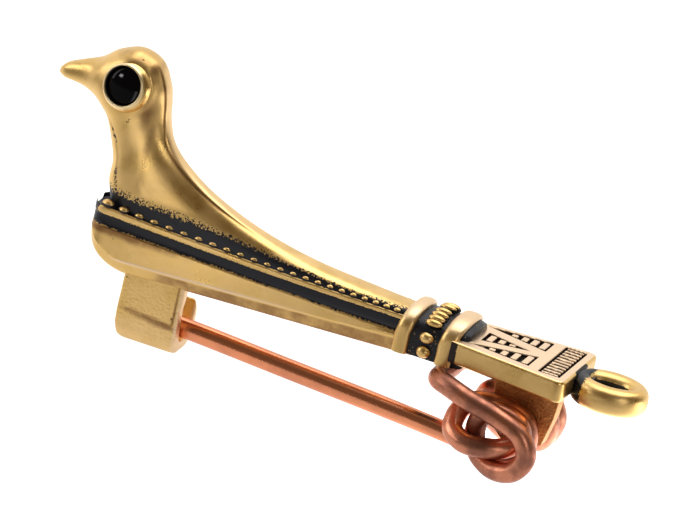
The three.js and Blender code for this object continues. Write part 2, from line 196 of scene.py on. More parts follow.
# node helpers
class NodeTree:
    # a short way to add nodes, set their values and link them
    def __init__(self, tree):
        self.tree = tree

    def add(self, kind, values=None, **settings):
        node = self.tree.nodes.new(kind)
        for setting, value in settings.items():
            setattr(node, setting, value)
        for socket, value in (values or {}).items():
            if isinstance(value, bpy.types.NodeSocket):
                self.tree.links.new(value, node.inputs[socket])
            else:
                node.inputs[socket].default_value = value
        return node

    def math(self, operation, a, b=0.0, clamp=False):
        return self.add("ShaderNodeMath", {0: a, 1: b}, operation=operation, use_clamp=clamp).outputs[0]

    def remap(self, value, low, high, to=(0.0, 1.0), smooth=True):
        limits = {"Value": value, "From Min": low, "From Max": high, "To Min": to[0], "To Max": to[1]}
        kind = "SMOOTHSTEP" if smooth else "LINEAR"
        return self.add("ShaderNodeMapRange", limits, interpolation_type=kind).outputs["Result"]

    def mix(self, part, a, b):
        # the colour mix's own sockets are 0 for the share and 6 and 7 for the two colours
        return self.add("ShaderNodeMix", {0: part, 6: a, 7: b}, data_type="RGBA").outputs[2]

    def noise(self, place, scale, detail, roughness):
        values = {"Vector": place, "Scale": scale, "Detail": detail, "Roughness": roughness}
        return self.add("ShaderNodeTexNoise", values).outputs["Fac"]

    def attribute(self, name):
        return self.add("ShaderNodeAttribute", attribute_name=name).outputs["Fac"]


def makeGroup(name, inputs, outputs, fill):
    # every socket is a plain value: inputs are (name, default), outputs are names,
    # and fill gets the nodes and the input sockets and returns the outputs by name
    tree = bpy.data.node_groups.new(name, "ShaderNodeTree")
    for label, default in inputs:
        socket = tree.interface.new_socket(label, in_out="INPUT", socket_type="NodeSocketFloat")
        socket.default_value = default
    for label in outputs:
        tree.interface.new_socket(label, in_out="OUTPUT", socket_type="NodeSocketFloat")
    nodes = NodeTree(tree)
    start = nodes.add("NodeGroupInput")
    end = nodes.add("NodeGroupOutput")
    for label, socket in fill(nodes, start.outputs).items():
        tree.links.new(socket, end.inputs[label])
    return tree


def fillPatina(nodes, given):
    # the soot mark is 0.5 at the edge of the black; noise of two sizes moves that edge
    # and breaks it into specks
    place = nodes.add("ShaderNodeTexCoord").outputs["Object"]
    coarse = nodes.noise(place, 1700.0, 4.0, 0.65)
    fine = nodes.noise(place, 7000.0, 3.0, 0.7)
    wander = nodes.math("MULTIPLY", nodes.math("SUBTRACT", coarse, 0.5), given["Wander"])
    edge = nodes.math("MULTIPLY", nodes.remap(given["Soot"], 0.05, 0.4), nodes.remap(given["Soot"], 1.0, 0.6))
    specks = nodes.math("MULTIPLY", nodes.math("SUBTRACT", fine, 0.5), given["Specks"])
    specks = nodes.math("MULTIPLY", specks, edge)
    level = nodes.math("ADD", nodes.math("ADD", given["Soot"], wander), specks)
    mask = nodes.remap(level, 0.46, 0.54)
    # only where there is some soot near by
    near = nodes.remap(given["Soot"], 0.02, 0.12)
    return {"Mask": nodes.math("MULTIPLY", mask, near), "Edge": edge}


def fillGrain(nodes, given):
    # three noises: broad cloudy tone, casting grain, and rare small pits
    place = nodes.add("ShaderNodeTexCoord").outputs["Object"]
    cloud = nodes.noise(place, 420.0, 5.0, 0.6)
    grain = nodes.noise(place, given["Grain"], 3.0, 0.6)
    pits = nodes.remap(nodes.noise(place, 1500.0, 2.0, 0.5), 0.74, 0.78)
    height = nodes.math("SUBTRACT", grain, nodes.math("MULTIPLY", pits, 1.2))
    return {"Tone": nodes.remap(cloud, 0.35, 0.65), "Height": height, "Pits": pits}


patinaInputs = [("Soot", 0.0), ("Wander", 0.6), ("Specks", 0.5)]
patina = makeGroup("patina edge", patinaInputs, ["Mask", "Edge"], fillPatina)
castGrain = makeGroup("cast grain", [("Grain", 9000.0)], ["Tone", "Height", "Pits"], fillGrain)


def newMaterial(name):
    material = bpy.data.materials.new(name)
    material.use_nodes = True
    shader = material.node_tree.nodes["Principled BSDF"]
    return material, NodeTree(material.node_tree), shader


def makeBrass(name, look):
    # satin brass in two tones by the cloud noise, with brown painted shade, pale painted highlights
    # and blue-black patina, each where its mark says
    material, nodes, shader = newMaterial(name)
    link = nodes.tree.links.new
    grain = nodes.add("ShaderNodeGroup", {"Grain": look["grain"]}, node_tree=castGrain).outputs
    soot = {"Soot": nodes.attribute("soot"), "Wander": look["wander"], "Specks": look["specks"]}
    edge = nodes.add("ShaderNodeGroup", soot, node_tree=patina).outputs
    black, paintedShade, paintedHighlight = edge["Mask"], nodes.attribute("paintedShade"), nodes.attribute("paintedHighlight")
    # the cloud noise moves the outline of the painted shade about
    cloud = nodes.math("MULTIPLY", nodes.math("SUBTRACT", grain["Tone"], 0.5), 0.4)
    shadeShare = nodes.remap(nodes.math("ADD", paintedShade, cloud), 0.1, 0.95)
    shadeShare = nodes.math("MULTIPLY", shadeShare, nodes.remap(paintedShade, 0.02, 0.2))
    metal = nodes.mix(grain["Tone"], (*look["dark"], 1), (*look["light"], 1))
    for share, tone in ((shadeShare, "paintedShade"), (paintedHighlight, "paintedHighlight"), (grain["Pits"], "pit"), (black, "patina")):
        metal = nodes.mix(share, metal, (*look[tone], 1))
    link(metal, shader.inputs["Base Color"])
    link(nodes.remap(black, 0.0, 1.0, (1.0, 0.25), smooth=False), shader.inputs["Metallic"])
    rough = nodes.remap(grain["Tone"], 0.0, 1.0, look["rough"], smooth=False)
    # the painted highlights are a little rougher too
    rough = nodes.math("ADD", rough, nodes.math("MULTIPLY", paintedHighlight, 0.1))
    bare = nodes.math("MULTIPLY", rough, nodes.math("SUBTRACT", 1.0, black))
    sooted = nodes.math("MULTIPLY", black, look["patinaRough"])
    link(nodes.math("ADD", bare, sooted), shader.inputs["Roughness"])
    # the grain is coarser at the edge of the black, and the black lies lower than the metal
    coarser = nodes.math("ADD", nodes.math("MULTIPLY", edge["Edge"], look["edgeGrain"]), 1.0)
    grains = nodes.math("MULTIPLY", grain["Height"], coarser)
    rise = nodes.math("SUBTRACT", grains, nodes.math("MULTIPLY", black, 0.6))
    relief = {"Strength": look["bump"], "Distance": look["relief"], "Height": rise}
    link(nodes.add("ShaderNodeBump", relief).outputs["Normal"], shader.inputs["Normal"])
    return material


brassLook = {
    "light": (0.92, 0.62, 0.25),
    "dark": (0.80, 0.52, 0.18),
    # the next two are the colours of the painted highlights and of the painted shade
    "paintedHighlight": (0.95, 0.72, 0.50),
    "paintedShade": (0.34, 0.18, 0.07),
    "pit": (0.20, 0.11, 0.04),
    "patina": (0.008, 0.009, 0.016),
    "patinaRough": 0.36,
    "edgeGrain": 1.5,
    "rough": (0.27, 0.36),
    "wander": 0.6,
    "specks": 1.0,
    "bump": 0.35,
    "grain": 9000.0,
    "relief": 0.00003,
}
brass = makeBrass("satin brass", brassLook)
brassSpeckled = makeBrass("speckled brass", {**brassLook, "specks": 3.2, "edgeGrain": 2.5})
crispLook = {**brassLook, "wander": 0.25, "specks": 0.3, "edgeGrain": 0.3}
brassCrisp = makeBrass("crisp brass", crispLook)
# the eye rims' painted highlights are paler still
polishedLook = {**crispLook, "paintedHighlight": (1.0, 0.79, 0.45), "rough": (0.2, 0.28), "edgeGrain": 1.5}
brassPolished = makeBrass("polished brass", polishedLook)
engravedLook = {**brassLook, "wander": 0.3, "specks": 0.2, "edgeGrain": 0.2}
engravedLook.update({"patina": (0.016, 0.007, 0.006), "patinaRough": 0.5})
brassEngraved = makeBrass("engraved brass", engravedLook)
mattLook = {**brassLook, "rough": (0.36, 0.46), "bump": 1.0, "grain": 3800.0, "relief": 0.00008}
brassMatt = makeBrass("matt cast brass", mattLook)
# the lug's matt cast grain is its own; its orange-brown tone is a painted reflection of the copper coil
# beside it
brownLook = {**brassLook, "light": (0.72, 0.36, 0.13), "dark": (0.50, 0.23, 0.08)}
brownLook.update({"rough": (0.42, 0.52), "bump": 1.0, "grain": 4500.0, "relief": 0.0001})
brassBrown = makeBrass("brown cast brass", brownLook)


def makeCopper(name, look):
    # drawn copper: a reddish and a browner tone by cloud noise, fine grain in the bump
    material, nodes, shader = newMaterial(name)
    link = nodes.tree.links.new
    grain = nodes.add("ShaderNodeGroup", node_tree=castGrain).outputs
    link(nodes.mix(grain["Tone"], (*look["brown"], 1), (*look["red"], 1)), shader.inputs["Base Color"])
    shader.inputs["Metallic"].default_value = 1.0
    rough = nodes.remap(grain["Tone"], 0.0, 1.0, look["rough"], smooth=False)
    link(rough, shader.inputs["Roughness"])
    relief = {"Strength": look["bump"], "Distance": 0.00002, "Height": grain["Height"]}
    link(nodes.add("ShaderNodeBump", relief).outputs["Normal"], shader.inputs["Normal"])
    return material


coilLook = {"red": (0.76, 0.30, 0.18), "brown": (0.33, 0.135, 0.09), "rough": (0.42, 0.28), "bump": 0.3}
pinLook = {"red": (0.90, 0.34, 0.17), "brown": (0.74, 0.28, 0.15), "rough": (0.26, 0.22), "bump": 0.12}
copperCoil = makeCopper("coil copper", coilLook)
copperPin = makeCopper("pin copper", pinLook)

eyeLook = {"dark": (0.0003, 0.0004, 0.0015), "light": (0.0006, 0.0008, 0.003), "rough": 0.06, "shine": 0.2}


def makeEyeBlack(look):
    # black glass-like enamel, a faint blue tone in it
    material, nodes, shader = newMaterial("black eye")
    grain = nodes.add("ShaderNodeGroup", node_tree=castGrain).outputs
    tone = nodes.mix(grain["Tone"], (*look["dark"], 1), (*look["light"], 1))
    nodes.tree.links.new(tone, shader.inputs["Base Color"])
    shader.inputs["Roughness"].default_value = look["rough"]
    shader.inputs["Specular IOR Level"].default_value = look["shine"]
    return material


eyeBlack = makeEyeBlack(eyeLook)
print("materials ready")

# the bow
bowShape = {
    "front": -19.35, "end": 6.0, "half": 1.78, "narrowing": 0.012,
    "gunwale": 9.69, "gunwaleFall": 0.036, "sag": 0.16, "keel": 4.98, "keelRise": 0.04,
    "noseLength": 1.3, "noseSquareness": 2.6, "cornerLength": 3.6, "cornerHeight": 3.1,
    "ridge": (0.56, 0.34), "groove": (0.9, 1.02), "crease": (1.12, 1.42),
    "stations": (46, 99),
}


def alongBow(x):
    # 0 at the nose and 1 at the end inside the collar
    return (x - bowShape["front"]) / (bowShape["end"] - bowShape["front"])


def gunwaleAt(x):
    # the ridge's top falls towards the tail and sags a little on the way
    fall = bowShape["gunwaleFall"] * (x - bowShape["front"])
    return bowShape["gunwale"] - fall - bowShape["sag"] * np.sin(np.pi * np.clip(alongBow(x), 0, 1))


def grooveAt(x):
    # the heights of the black groove's upper and lower edge
    along = alongBow(x)
    ridge, groove = bowShape["ridge"], bowShape["groove"]
    high = gunwaleAt(x) - ridge[0] + (ridge[0] - ridge[1]) * along
    return high, high - groove[0] - (groove[1] - groove[0]) * smoothStep(0.6, 0.95, along)


def bowHalfAt(x):
    # half the bow's width, a straight taper towards the tail
    return bowShape["half"] - bowShape["narrowing"] * (x - bowShape["front"])


def keelAt(x):
    # the keel rises in a straight line towards the tail
    return bowShape["keel"] + bowShape["keelRise"] * (x + 14)


def creaseAt(x, keel):
    # the line where the side turns in towards the keel
    low, high = bowShape["crease"]
    return np.minimum(keel + low + (high - low) * np.clip(alongBow(x), 0, 1) ** 3, grooveAt(x)[1] - 0.35)


def bowSide(x, keel):
    # one side of a section from the keel up, as (share of the half width, height)
    crease, top = creaseAt(x, keel), gunwaleAt(x)
    grooveTop, grooveLow = grooveAt(x)
    bevel = [
        (0.0, keel), (0.45, keel), (0.62, keel + 0.05), (0.745, keel + 0.18), (0.83, keel + 0.42),
        (0.955, crease - 0.14), (1.005, crease - 0.03), (1.01, crease + 0.06), (1.0, crease + 0.16),
    ]
    face = [(0.99, 0.5 * crease + 0.5 * grooveLow), (0.975, grooveLow - 0.12), (0.945, grooveLow)]
    groove = [
        (0.86, grooveLow + 0.1), (0.85, grooveTop - 0.12), (0.93, grooveTop - 0.05), (1.0, grooveTop + 0.03),
    ]
    ridge = [(1.01, top - 0.12), (0.97, top), (0.88, top + 0.02)]
    ledge = [(0.76, top - 0.16), (0.7, top - 0.3), (0.3, top - 0.35)]
    return bevel + face + groove + ridge + ledge


def bowMarks(points):
    # black in the groove and on the ledge inside the ridge; brown painted shade under the groove at the front
    # and on the bevel behind it, and a painted highlight along the crease
    x, depth, z = points[:, 0], np.abs(points[:, 1]), points[:, 2]
    high, low = grooveAt(x)
    inGroove = np.minimum(high + 0.02 - z, z - low - 0.03) * 2.2
    onLedge = np.where(z > gunwaleAt(x) - 0.5, (bowHalfAt(x) * 0.9 - depth) * 2, -1)
    toCrease = z - creaseAt(x, keelAt(x))
    underGroove = smoothStep(-9, -16, x) * smoothStep(0.9, 0.1, low - z) * (z < low)
    onBevel = smoothStep(-16.5, -12, x) * smoothStep(-0.08, -0.25, toCrease) * 0.6
    bright = np.exp(-((toCrease / 0.09) ** 2)) * smoothStep(-17.8, -16, x) * smoothStep(0, -9, x)
    soot = 0.5 + np.maximum(inGroove, onLedge)
    return {"soot": soot, "paintedShade": np.maximum(underGroove, onBevel), "paintedHighlight": bright}


def makeBow():
    # sections softened by corner cutting; the nose narrows as a superellipse
    # and the keel rises to it as an ellipse
    b = bowShape
    atNose, behind = b["stations"]
    nose = b["front"] + b["cornerLength"] * (1 - np.cos(np.linspace(0, np.pi / 2, atNose)))
    x = np.concatenate([nose, np.linspace(nose[-1], b["end"], behind + 1)[1:]])[:, None]
    into = np.clip((b["front"] + b["noseLength"] - x) / b["noseLength"], 0, 1)
    half = bowHalfAt(x) * (1 - 0.9 * into ** b["noseSquareness"]) ** (1 / b["noseSquareness"])
    lift = np.clip((b["front"] + b["cornerLength"] - x) / b["cornerLength"], 0, 1)
    keel = keelAt(x) + b["cornerHeight"] * (1 - np.sqrt(1 - 0.96 * lift**2))
    side = bowSide(x, keel)
    near = np.stack([np.stack([-half * part, z + 0 * x], -1)[:, 0] for part, z in side], 1)
    far = near[:, ::-1] * [-1, 1]
    outline = softenOutline(np.concatenate([near, far[:, :-1]], 1), 2)
    rings = np.concatenate([np.broadcast_to(x[:, None], (*outline.shape[:2], 1)), outline], -1)
    return closedTube(rings)


bow = makeBow()
addPiece("bow_hull", bow, brass, stands=["brooch_body"], marks=bowMarks(bow[0]))

# the bird
birdShape = {
    # each rib: top x, z, underside x, z, half width
    "ribs": [
        (6.5, 9.2, 6.5, 7.2, 1.45), (2.0, 9.48, 2.0, 7.2, 1.48), (-3.0, 9.95, -3.5, 7.0, 1.5),
        (-7.3, 10.95, -9.5, 7.0, 1.52), (-10.8, 12.3, -14.3, 7.2, 1.55), (-13.2, 13.75, -17.6, 8.4, 1.55),
        (-14.7, 15.15, -18.85, 10.9, 1.52), (-15.37, 16.75, -18.95, 12.8, 1.5),
        (-15.62, 18.15, -19.5, 14.6, 1.68), (-15.97, 19.4, -19.95, 15.75, 1.98),
        (-16.85, 20.8, -20.5, 16.4, 2.1), (-18.5, 21.35, -20.95, 16.85, 2.05),
        (-20.15, 20.8, -21.5, 17.15, 1.6), (-21.35, 19.85, -22.25, 17.38, 1.12),
        (-22.6, 19.25, -23.0, 17.45, 0.8), (-23.7, 18.7, -23.75, 17.5, 0.52),
        (-24.2, 18.2, -24.2, 17.7, 0.22),
    ],
    "grid": (460, 168), "squareness": 2.25, "tailSquareness": 3.2,
    "backStrip": 0.58, "throatStrip": 1.12, "stripRise": 0.08,
    "black": {"front": 1.3, "tail": 0.4, "frontBlur": 0.8, "tailBlur": 3.0},
    # each patch of brown painted shade: x, z, its reach in x and z, its strength
    "paintedShade": [
        (-16.8, 17.3, 0.7, 1.2, 0.6), (-16.9, 20.6, 0.5, 0.5, 0.65), (-16.2, 14.2, 0.4, 2.4, 0.6),
        (-18.3, 21.0, 1.6, 0.45, 0.6), (-22.4, 18.9, 0.9, 0.2, 0.6),
    ],
}
eyeShape = {
    "centre": (-18.72, -1.98, 18.95), "lean": (-0.15, -1.0, 0.2), "radius": 1.39, "socket": 0.75,
    "pit": (1.42, 1.6), "mound": {"radius": 2.0, "width": 0.17, "height": 0.13},
    # the dome's heights at its foot and where it starts to curve, and how far it rises from there
    "dome": (-0.69, -0.28, 0.3),
    # the rim's section, as distance from the eye's axis and height
    "rim": [
        (1.42, -0.7), (1.42, -0.1), (1.44, 0.13), (1.5, 0.2), (1.59, 0.14), (1.68, 0.0), (1.82, -0.16),
        (2.0, -0.7),
    ],
}


def eyeFrame(side):
    # the eye's centre and its outward direction on one side
    centre = np.array(eyeShape["centre"]) * [1, -side, 1]
    outward = np.array(eyeShape["lean"]) * [1, -side, 1]
    return centre, outward / np.linalg.norm(outward)


def blendRibs(ribs, place):
    # cubic Hermite between neighbouring ribs; the slope at a rib is half the difference
    # of the ribs either side
    ribs = np.array(ribs)
    last = len(ribs) - 1
    at = np.clip(np.floor(place).astype(int), 0, last - 1)
    t = (place - at)[:, None]
    before, start, end, after = (ribs[np.clip(at + step, 0, last)] for step in (-1, 0, 1, 2))
    pull, push = (end - before) / 2, (after - start) / 2
    rise = end - start
    return start + pull * t + (3 * rise - 2 * pull - push) * t**2 + (pull + push - 2 * rise) * t**3


def shapeEyes(points):
    # a round pit takes each eye, and a low mound stands behind its back half
    mound = eyeShape["mound"]
    for side in (-1, 1):
        centre, outward = eyeFrame(side)
        radius, height = awayFrom(points, centre, outward)
        onSide = height > -1.2
        pit = (1 - smoothStep(*eyeShape["pit"], radius)) * onSide
        behind = np.clip((points[:, 0] - centre[0]) / np.maximum(radius, 0.5), 0, 1) * onSide
        rise = mound["height"] * np.exp(-(((radius - mound["radius"]) / mound["width"]) ** 2))
        rise = rise * smoothStep(0.55, 0.95, behind)
        drop = np.minimum(0, -eyeShape["socket"] - height) * pit
        points = points + outward * (drop + rise)[:, None]
    return points


def birdSoot(points):
    # black above the pearls, thinner towards the tail, and in two cracks at the edge of the throat strip
    x, depth, z = points[:, 0], np.abs(points[:, 1]), points[:, 2]
    run = smoothStep(-13, 2, x)
    black = birdShape["black"]
    limit = black["front"] + (black["tail"] - black["front"]) * run
    blur = black["frontBlur"] + (black["tailBlur"] - black["frontBlur"]) * run
    besideThroat = np.exp(-(((depth - birdShape["throatStrip"] - 0.06) / 0.05) ** 2)) * (x < -17.3)
    cracked = np.maximum(smoothStep(13.2, 12.4, z), smoothStep(14.2, 14.6, z) * smoothStep(15.8, 15.3, z))
    return np.maximum(0.5 + (limit - z + gunwaleAt(x)) * blur, 0.62 * besideThroat * cracked)


def birdPaintedShade(points, onBack):
    # the patches of painted shade, and a brown painted shade line beside the strip on the back
    paintedShade = np.exp(-(((np.abs(points[:, 1]) - birdShape["backStrip"] - 0.1) / 0.08) ** 2)) * onBack
    for x, z, reachX, reachZ, strength in birdShape["paintedShade"]:
        fall = ((points[:, 0] - x) / reachX) ** 2 + ((points[:, 2] - z) / reachZ) ** 2
        paintedShade = np.maximum(paintedShade, strength * np.exp(-fall))
    return paintedShade


def makeBird():
    # a superellipse on each rib; a flat strip stands a little proud along the back and down the throat
    b = birdShape
    stations, around = b["grid"]
    rib = np.linspace(0, len(b["ribs"]) - 1, stations)[:, None]
    topX, topZ, lowX, lowZ, half = [column[:, None] for column in blendRibs(b["ribs"], rib[:, 0]).T]
    turn = fullTurn(around)[None, :]
    power = 2 / (b["squareness"] + (b["tailSquareness"] - b["squareness"]) * (1 - smoothStep(1, 5, rib)))
    along, across = signedPower(np.cos(turn), power), signedPower(np.sin(turn), power)
    y = half * across
    onTop = along > 0
    backShown = smoothStep(2, 4, rib) * (1 - smoothStep(9, 10.5, rib))
    throatShown = smoothStep(5, 6, rib) * (1 - smoothStep(8.5, 9.5, rib))
    strip = np.where(onTop, b["backStrip"], b["throatStrip"])
    beside = smoothStep(strip, strip + 0.1, np.abs(y))
    inward = b["stripRise"] * np.where(onTop, backShown, throatShown) * beside
    reach = np.hypot(topX - lowX, topZ - lowZ) / 2
    along = along * (1 - inward / reach)
    y = y * (1 - 0.5 * inward / half)
    x = (topX + lowX) / 2 + (topX - lowX) / 2 * along
    z = (topZ + lowZ) / 2 + (topZ - lowZ) / 2 * along
    points, faces = closedTube(np.stack([x, y, z], -1))
    points = shapeEyes(points)
    onBack = np.zeros(len(points))
    onBack[: along.size] = (backShown * onTop).ravel()
    onStrip = smoothStep(0.04, -0.04, np.abs(points[:, 1]) - b["backStrip"]) * onBack
    # the strip on the back gets a faint painted highlight
    marks = {"soot": birdSoot(points), "paintedShade": birdPaintedShade(points, onBack), "paintedHighlight": 0.3 * onStrip}
    return (points, faces), marks


bird, birdMarks = makeBird()
addPiece("bird", bird, brassSpeckled, stands=["brooch_body"], marks=birdMarks)


def makeEyeRim(side):
    # the rim's section, softened and turned round the eye's axis; black inside, a painted highlight on top
    outline = softenOutline(np.array(eyeShape["rim"]), 2)
    centre, outward = eyeFrame(side)
    rings = centre + spokesRound(outward, 96)[:, None] * outline[None, :, :1] + outward * outline[None, :, 1:]
    points, faces = closedTube(rings, loop=True)
    radius, height = awayFrom(points, centre, outward)
    inside = np.where(radius < 1.5, 0.5 - height * 3.0, 0.0)
    return (points, faces), {"soot": inside, "paintedHighlight": smoothStep(1.74, 1.6, radius)}


def makeEye(side):
    # a low dome, a quarter ellipse turned round, on a short wall closed underneath
    centre, outward = eyeFrame(side)
    foot, start, dome = eyeShape["dome"]
    rise = np.linspace(0, np.pi / 2, 16)[:-1]
    radius = eyeShape["radius"] * np.concatenate([[1.0], np.cos(rise)])
    height = np.concatenate([[foot], start + dome * np.sin(rise)])
    rings = centre + spokesRound(outward, 72)[None] * radius[:, None, None] + outward * height[:, None, None]
    return closedTube(rings)


eyeSides = {"left": -1, "right": 1}
for label, side in eyeSides.items():
    eyeRim, rimMarks = makeEyeRim(side)
    addPiece(f"eye_rim_{label}", eyeRim, brassPolished, marks=rimMarks)

for label, side in eyeSides.items():
    addPiece(f"eye_dome_{label}", makeEye(side), eyeBlack, stands=[f"eye_{label}"])

# the pearls
pearlShape = {
    "count": 23, "first": -18.19, "run": 22.63, "crowding": 0.22, "front": 0.31, "tail": 0.235,
    "inset": 0.82, "above": 0.12, "frontLift": 0.08, "frontExtra": 0.07, "stretch": (1.25, 0.95, 0.85),
}


def ballShape(centre, radii, around, up):
    # rings of a sphere from pole to pole, stretched by its three radii
    rise = np.linspace(-np.pi / 2, np.pi / 2, up + 2)[1:-1][:, None]
    turn = fullTurn(around)[None, :]
    sphere = [np.cos(rise) * np.cos(turn), np.cos(rise) * np.sin(turn), np.sin(rise)]
    points, faces = closedTube(np.stack(np.broadcast_arrays(*sphere), -1))
    points[-2:] = [(0, 0, -1), (0, 0, 1)]
    return points * radii + centre, faces


def makePearls():
    # pearls stand on the ledge inside the ridge, a little closer together towards the tail;
    # only the upper part of each is bare metal, and below that each is black painted shade
    p = pearlShape
    t = np.linspace(0, 1, p["count"])
    places = p["first"] + p["run"] * ((1 + p["crowding"]) * t - p["crowding"] * t * t)
    frontShare = np.exp(p["first"] - places)
    sizes = p["front"] + (p["tail"] - p["front"]) * t + p["frontExtra"] * frontShare
    heights = gunwaleAt(places) + p["above"] + p["frontLift"] * frontShare
    balls, soot = [], []
    for x, z, size in zip(places, heights, sizes):
        for side in (-1, 1):
            centre = np.array([x, side * p["inset"] * bowHalfAt(x), z])
            ball = ballShape(centre, np.array(p["stretch"]) * size, 18, 12)
            balls.append(ball)
            # below the top of each pearl this mark paints it black as shade
            soot.append(0.5 + (z + 0.04 - ball[0][:, 2]) * 4.0)
    return joinShapes(balls), np.concatenate(soot)


pearls, pearlShade = makePearls()
addPiece("pearls", pearls, brassCrisp, marks={"soot": pearlShade})

# the collar
collarShape = {
    "half": 2.72, "base": 6.45, "shoulder": 7.9, "crown": 9.76, "lean": 0.33, "fan": 0.3, "squareness": 2.6,
    "ridges": [(4.95, 6.1), (8.25, 9.45)], "ridgeHeight": 0.4,
    # the core between and behind the ridges, as x and how far it is drawn in
    "core": [(5.0, 0.42), (6.8, 0.4), (8.6, 0.4), (9.6, 0.42), (9.95, 0.52), (10.15, 0.8)],
}
beadShape = {
    "x": 7.3, "lowOut": 2.34, "low": [(7.0, 0.46), (8.08, 0.42)], "lowLong": 0.55,
    "count": 8, "from": 0.78, "to": 0.22, "half": 2.36, "base": 7.92, "rise": 1.7, "size": (0.64, 0.29, 0.29),
}


def squareTurn(turn):
    # a turn round a squarish oval, as its shares across and up
    power = 2 / collarShape["squareness"]
    return signedPower(np.cos(turn), power), signedPower(np.sin(turn), power)


def archOutline(shrink, count=90):
    # up one side, over the crown as half a squarish oval, and down the other side
    c = collarShape
    half, crown = c["half"] - shrink, c["crown"] - shrink
    upright = c["shoulder"] - c["base"]
    sweep = 2.05 * half + 1.1 * (crown - c["shoulder"])
    along = np.linspace(0, 2 * upright + sweep, count)
    across, up = squareTurn(np.pi * (1 - (along - upright) / sweep))
    rising, falling = along <= upright, along >= upright + sweep
    y = np.where(rising, -half, np.where(falling, half, half * across))
    down = c["base"] + 2 * upright + sweep - along
    over = c["shoulder"] + (crown - c["shoulder"]) * up
    return y, np.where(rising, c["base"] + along, np.where(falling, down, over))


def leaning(x, z):
    # the arches lean back in step with the height above the shoulder, the rearmost edge most
    c = collarShape
    lean = c["lean"] + c["fan"] * smoothStep(8.6, 9.5, x)
    return x + lean * np.clip((z - c["shoulder"]) / (c["crown"] - c["shoulder"]), 0, None)


def archSlab(stations):
    # one arch outline at each station of x, drawn in by its shrink
    rings = []
    for x, shrink in stations:
        y, z = archOutline(shrink)
        rings.append(np.stack([leaning(x, z), y, z], -1))
    return closedTube(np.array(rings))


def makeRidge(start, end):
    # across its width the ridge is half a squarish oval; its crown carries a painted highlight
    t = np.sin(np.linspace(-np.pi / 2, np.pi / 2, 21))
    power = collarShape["squareness"]
    shrink = collarShape["ridgeHeight"] * (1 - (1 - np.abs(t) ** power) ** (1 / power))
    points, faces = archSlab(zip((start + end) / 2 + (end - start) / 2 * t, shrink))
    away = np.repeat(np.abs(t), len(points) // len(t) + 1)[: len(points)]
    marks = {"soot": 0.5 + (away - 1.0) * 3.0, "paintedHighlight": 0.7 * smoothStep(8.6, 9.6, points[:, 2])}
    return (points, faces), marks


for number, (start, end) in enumerate(collarShape["ridges"]):
    ridge, ridgeMarks = makeRidge(start, end)
    addPiece(f"collar_ridge_{number + 1}", ridge, brassCrisp, marks=ridgeMarks)

core = archSlab(collarShape["core"])
addPiece("collar_core", core, brassSpeckled, marks={"soot": np.full(len(core[0]), 0.8)})


def makeBeads():
    # two round beads up each side and a row of narrow ones over the crown; each is black at its foot
    b = beadShape
    beads, soot = [], []
    for z, width in b["low"]:
        for side in (-1, 1):
            centre = np.array([leaning(b["x"], z), side * b["lowOut"], z])
            beads.append(ballShape(centre, np.array([b["lowLong"], width, width]), 24, 14))
            soot.append(0.5 + (b["lowOut"] + 0.08 - np.abs(beads[-1][0][:, 1])) * 2.0)
    for turn in np.pi * np.linspace(b["from"], b["to"], b["count"]):
        across, up = squareTurn(turn)
        y, z = b["half"] * across, b["base"] + b["rise"] * up
        bead = ballShape(np.array([leaning(b["x"], z), y, z]), np.array(b["size"]), 24, 14)
        outwards = (bead[0][:, 1] - y) * math.cos(turn) + (bead[0][:, 2] - z) * math.sin(turn)
        beads.append(bead)
        soot.append(0.5 + (0.06 - outwards) * 3.0)
    return joinShapes(beads), np.concatenate(soot)


beads, beadSoot = makeBeads()
addPiece("collar_beads", beads, brassCrisp, marks={"soot": beadSoot})

# the foot plate
plateShape = {
    "start": 9.3, "end": 18.3, "halfStart": 2.75, "halfEnd": 3.85, "top": 8.6, "thick": 1.65,
    "edge": 0.24, "cornerRound": 0.75, "endRound": 0.3, "depth": 0.34, "grid": (300, 190),
}
carvedTriangles = [
    {"tip": (14.5, 0.2), "base": ((10.75, -0.8), (10.75, 1.15)), "bars": (11.3, 12.1, 12.9, 13.75)},
    {"tip": (10.2, -1.85), "base": ((15.15, -0.3), (15.15, -2.62)), "bars": (11.3, 12.05, 12.95, 13.8, 14.7)},
    {"tip": (10.2, 2.25), "base": ((15.15, 3.0), (15.15, 0.98)), "bars": (11.4, 12.4, 13.2, 13.95, 14.7)},
]
carvedBar = {"half": 0.29, "margin": 0.19, "corner": 0.16}
ribbedBand = {"from": 15.95, "to": 17.65, "half": 3.05, "middle": 0.1, "ribs": 11}
standing = 0.96  # how far a bar or a rib comes back up from the bottom of its pocket


def insideTriangle(x, y, corners):
    # distance in from the nearest side, negative outside
    corners = np.array(corners, float)
    middle = corners.mean(0)
    inside = np.full(x.shape, np.inf)
    for start, end in zip(corners, np.roll(corners, -1, axis=0)):
        side = (end - start) / np.linalg.norm(end - start)
        normal = np.array([-side[1], side[0]])
        normal = normal * np.sign((middle - start) @ normal)
        inside = np.minimum(inside, (x - start[0]) * normal[0] + (y - start[1]) * normal[1])
    return inside


def insideBox(x, y, lowX, highX, lowY, highY, corner):
    # distance in from the sides of a box with round corners, negative outside
    overX = np.maximum(np.maximum(lowX + corner - x, x - highX + corner), 0)
    overY = np.maximum(np.maximum(lowY + corner - y, y - highY + corner), 0)
    outside = np.hypot(overX, overY)
    within = np.minimum(np.minimum(x - lowX, highX - x), np.minimum(y - lowY, highY - y))
    return np.where(outside > 0, corner - outside, within)


